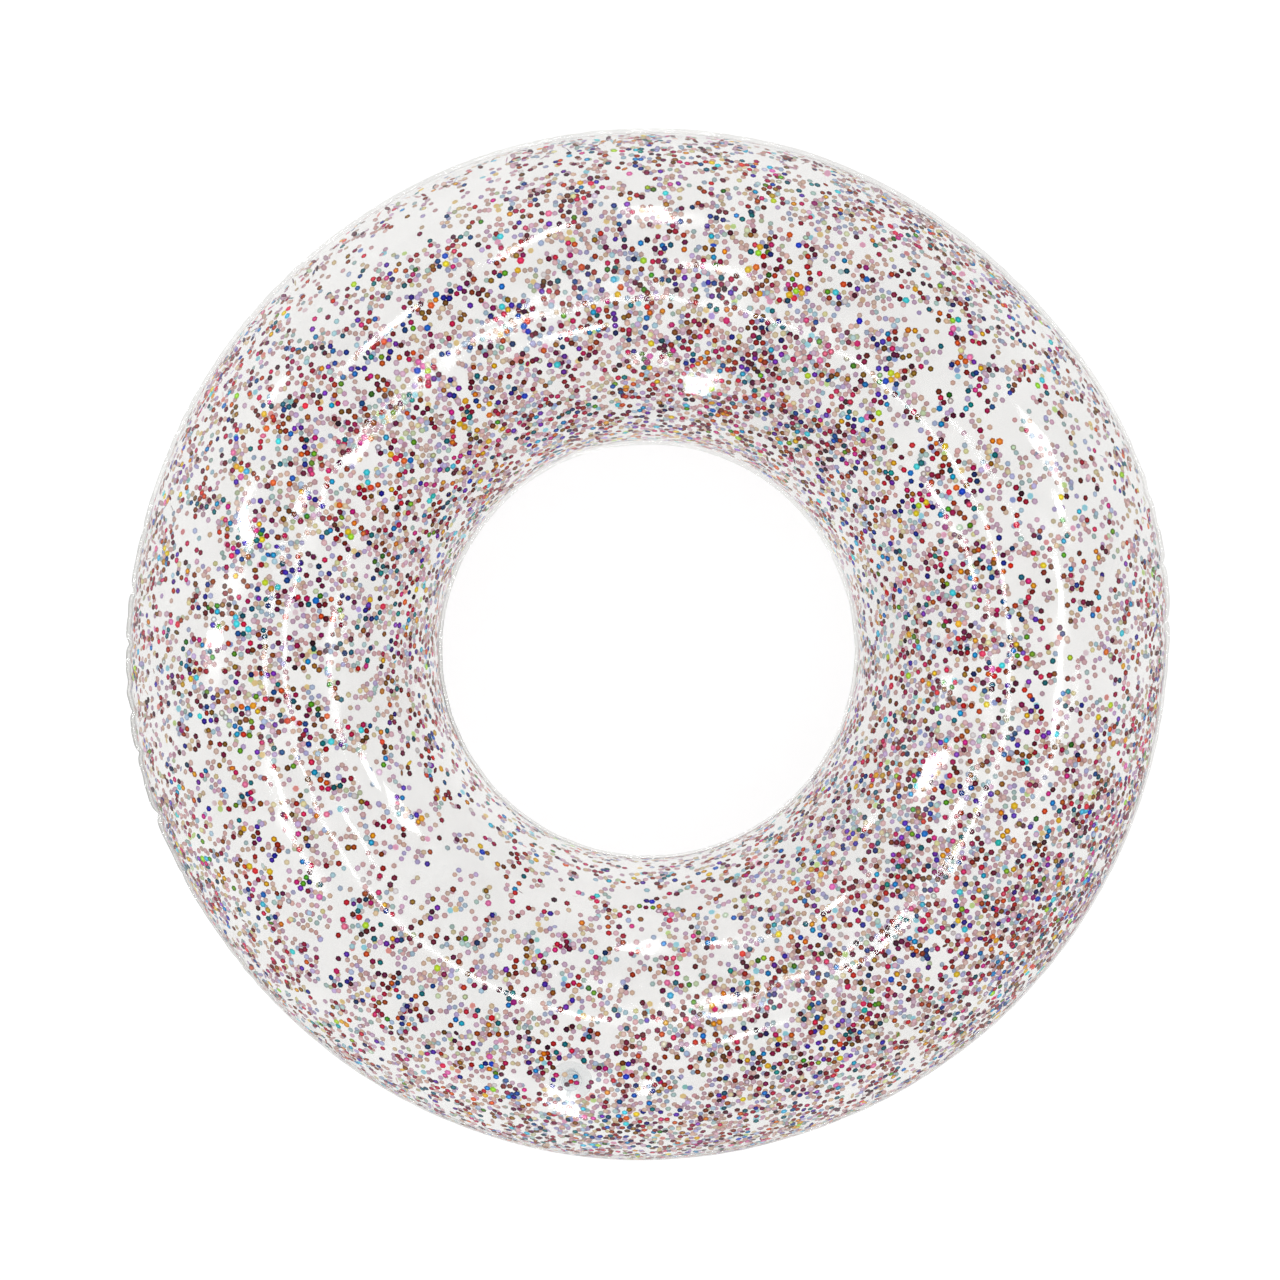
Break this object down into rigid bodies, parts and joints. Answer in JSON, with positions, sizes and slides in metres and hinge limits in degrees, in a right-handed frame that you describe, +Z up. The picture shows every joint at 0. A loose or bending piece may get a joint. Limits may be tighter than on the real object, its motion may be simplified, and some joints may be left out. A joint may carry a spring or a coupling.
{
  "type": "inflatable swim ring",
  "caption": "Round inflatable swim ring of clear film, blown to a tube round a centre hole, with loose glitter flakes inside and a soft pop-out air valve.",
  "frame": {"origin": "ring's centre, on the plane of the weld between the two films", "axes": "+Z up through the centre hole; the valve is on the lower film, 260 degrees round from +X"},
  "size_m": [0.9, 0.9, 0.2636],
  "materials": {
    "film": "gloss",
    "valve_pvc": "satin",
    "glitter_garnet": "polished",
    "glitter_plum": "polished",
    "glitter_scarlet": "polished",
    "glitter_rose": "polished",
    "glitter_navy": "polished",
    "glitter_azure": "polished",
    "glitter_teal": "polished",
    "glitter_green": "polished",
    "glitter_violet": "polished",
    "glitter_bronze": "polished",
    "glitter_gold": "polished",
    "glitter_silver": "polished"
  },
  "bodies": {
    "ring": {"upper_film": "film", "lower_film": "film", "valve_flange": "valve_pvc", "valve_skirt": "valve_pvc", "glitter_garnet": "glitter_garnet", "glitter_plum": "glitter_plum", "glitter_scarlet": "glitter_scarlet", "glitter_rose": "glitter_rose", "glitter_navy": "glitter_navy", "glitter_azure": "glitter_azure", "glitter_teal": "glitter_teal", "glitter_green": "glitter_green", "glitter_violet": "glitter_violet", "glitter_bronze": "glitter_bronze", "glitter_gold": "glitter_gold", "glitter_silver": "glitter_silver"},
    "valve_stem": {"valve_stem": "valve_pvc", "plug_tether": "valve_pvc"},
    "valve_plug": {"valve_plug": "valve_pvc"},
    "check_flap": {"check_flap": "valve_pvc"}
  },
  "joints": [
    {"name": "stem_pop_out", "type": "slide", "parent": "ring", "child": "valve_stem", "axis": [-0.1228, -0.6964, -0.7071], "range_m": [0, 0.014], "deforming": ["valve_skirt"]},
    {"name": "plug_pull", "type": "slide", "parent": "valve_stem", "child": "valve_plug", "axis": [-0.1228, -0.6964, -0.7071], "range_m": [0, 0.012], "deforming": ["plug_tether"]},
    {"name": "flap_open", "type": "hinge", "parent": "valve_stem", "child": "check_flap", "pos_m": [-0.06847, -0.3883, -0.08736], "axis": [-0.9848, 0.1736, 0], "range_deg": [0, 55]}
  ]
}
